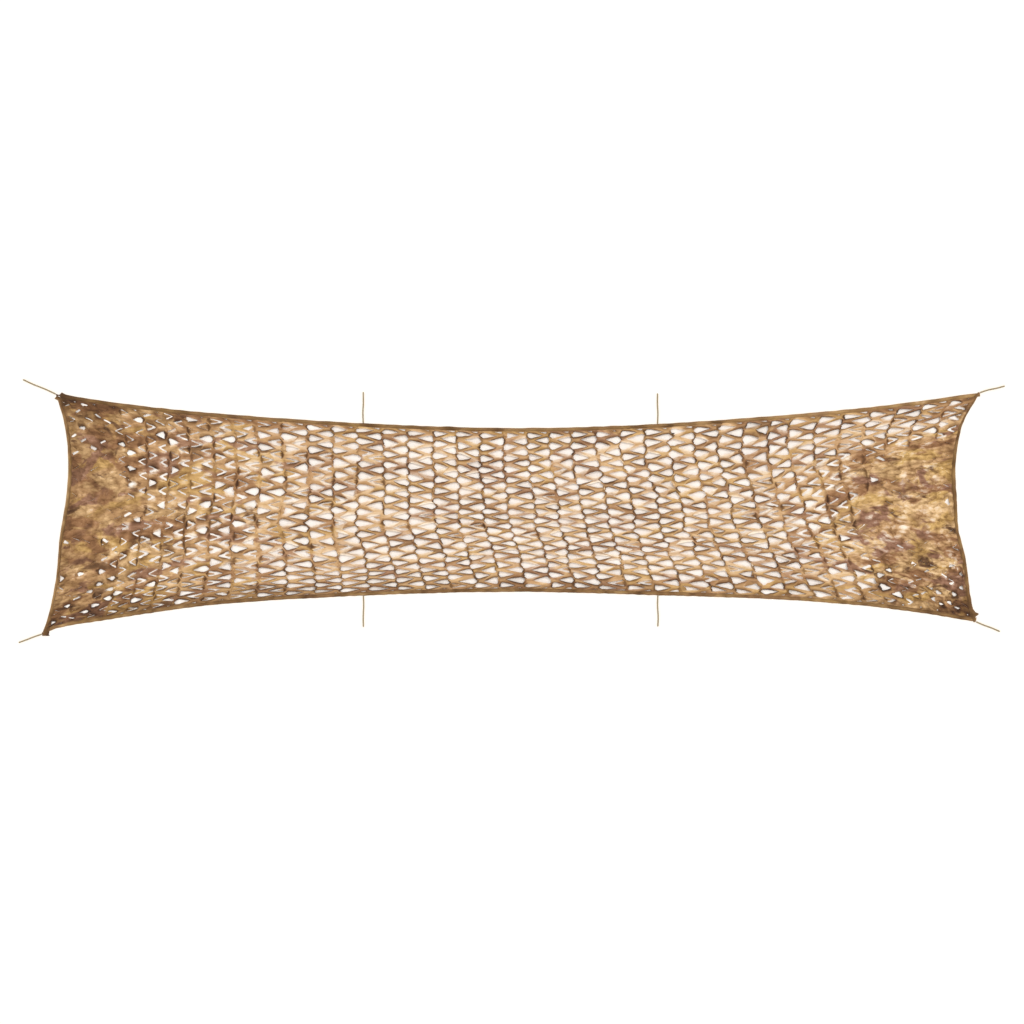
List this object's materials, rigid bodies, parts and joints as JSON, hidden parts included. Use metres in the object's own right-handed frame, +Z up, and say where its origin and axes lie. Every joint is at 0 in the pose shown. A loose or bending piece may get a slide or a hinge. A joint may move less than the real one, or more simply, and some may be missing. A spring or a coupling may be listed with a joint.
{
  "type": "camouflage netting",
  "caption": "Long net of slit and stretched desert-print camouflage cloth with a narrow hem and tie cords at its corners and sides, lying flat, for shade or as a screen.",
  "frame": {"origin": "middle of the netting's box, without its tie cords, on the surface it lies on", "axes": "+X along the netting towards its right end, +Y across it towards its upper long edge, +Z up out of its face"},
  "size_m": [6.4195, 1.7194, 0.028],
  "materials": {
    "camouflage_cloth": "matte printed polyester cloth, tan, ochre, brown and dark brown",
    "tie_cord": "matte khaki braided cord"
  },
  "bodies": {
    "root": {"netting": "camouflage_cloth", "tie_upper_left_corner": "tie_cord", "tie_lower_left_corner": "tie_cord", "tie_upper_right_corner": "tie_cord", "tie_lower_right_corner": "tie_cord", "tie_upper_left_side": "tie_cord", "tie_lower_left_side": "tie_cord", "tie_upper_right_side": "tie_cord", "tie_lower_right_side": "tie_cord"}
  },
  "joints": []
}
